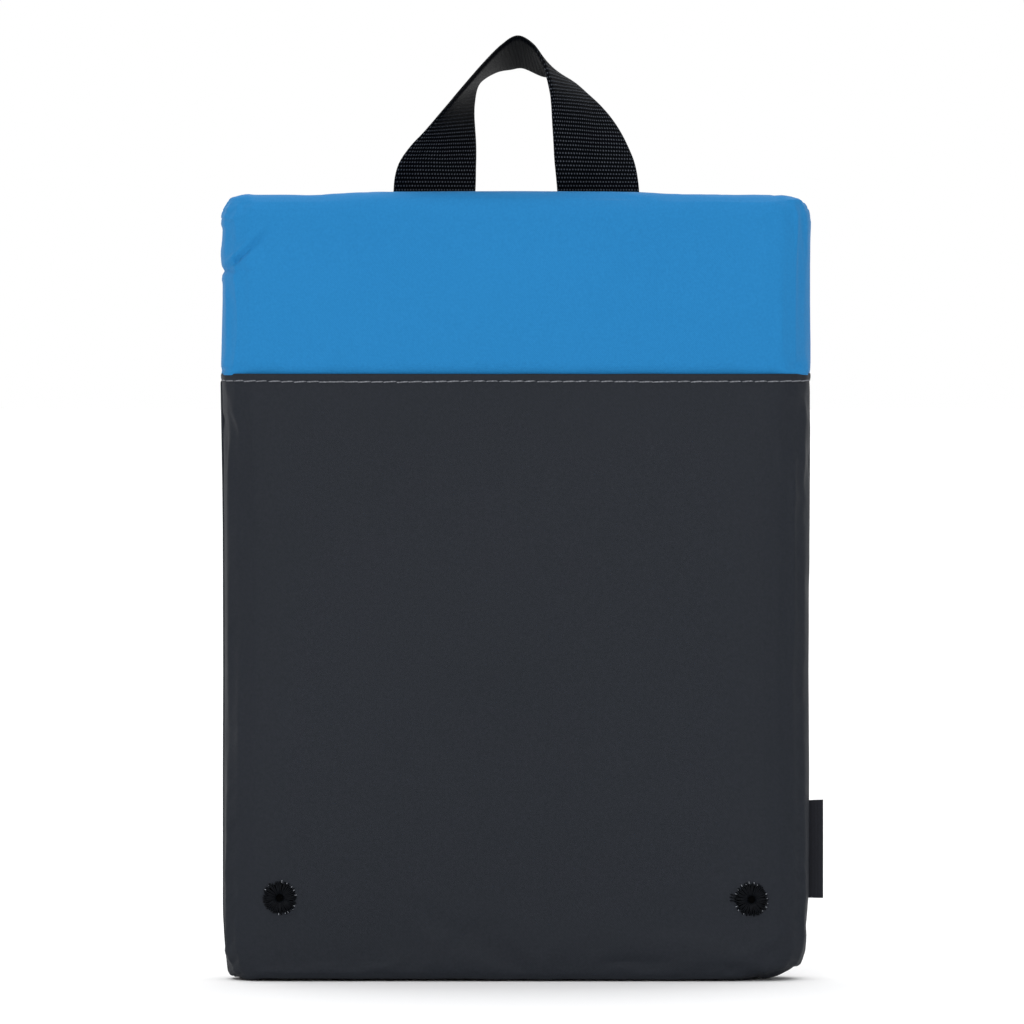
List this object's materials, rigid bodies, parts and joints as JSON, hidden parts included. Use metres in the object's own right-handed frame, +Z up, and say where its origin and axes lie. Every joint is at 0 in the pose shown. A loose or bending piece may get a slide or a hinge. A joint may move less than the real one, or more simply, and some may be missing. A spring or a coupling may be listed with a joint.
{
  "type": "packable backpack folded into its storage sleeve",
  "caption": "Lightweight backpack folded flat and tucked into its own open-topped fabric sleeve, with a webbing haul loop on top; stands upright on its base.",
  "frame": {"origin": "middle of the flat base on which the packed sleeve stands", "axes": "+Z up along the sleeve to the haul loop, +X to the right as seen from the front, -Y towards the front"},
  "size_m": [0.1841, 0.0338, 0.288],
  "materials": {
    "coated_cloth": "satin coated nylon",
    "pack_cloth": "matte plain-weave nylon",
    "inner_cloth": "matte plain-weave nylon",
    "webbing": "matte woven polypropylene",
    "eyelet_thread": "matte embroidery thread",
    "woven_tab": "matte woven tape"
  },
  "bodies": {
    "root": {"sleeve_front_panel": "coated_cloth", "sleeve_back_panel": "coated_cloth", "mouth_hem": "coated_cloth", "front_fold": "pack_cloth", "rear_fold": "pack_cloth", "front_layers": "inner_cloth", "rear_layers": "inner_cloth", "carry_loop": "webbing", "eyelet_left": "eyelet_thread", "eyelet_right": "eyelet_thread", "side_label": "woven_tab"}
  },
  "joints": []
}
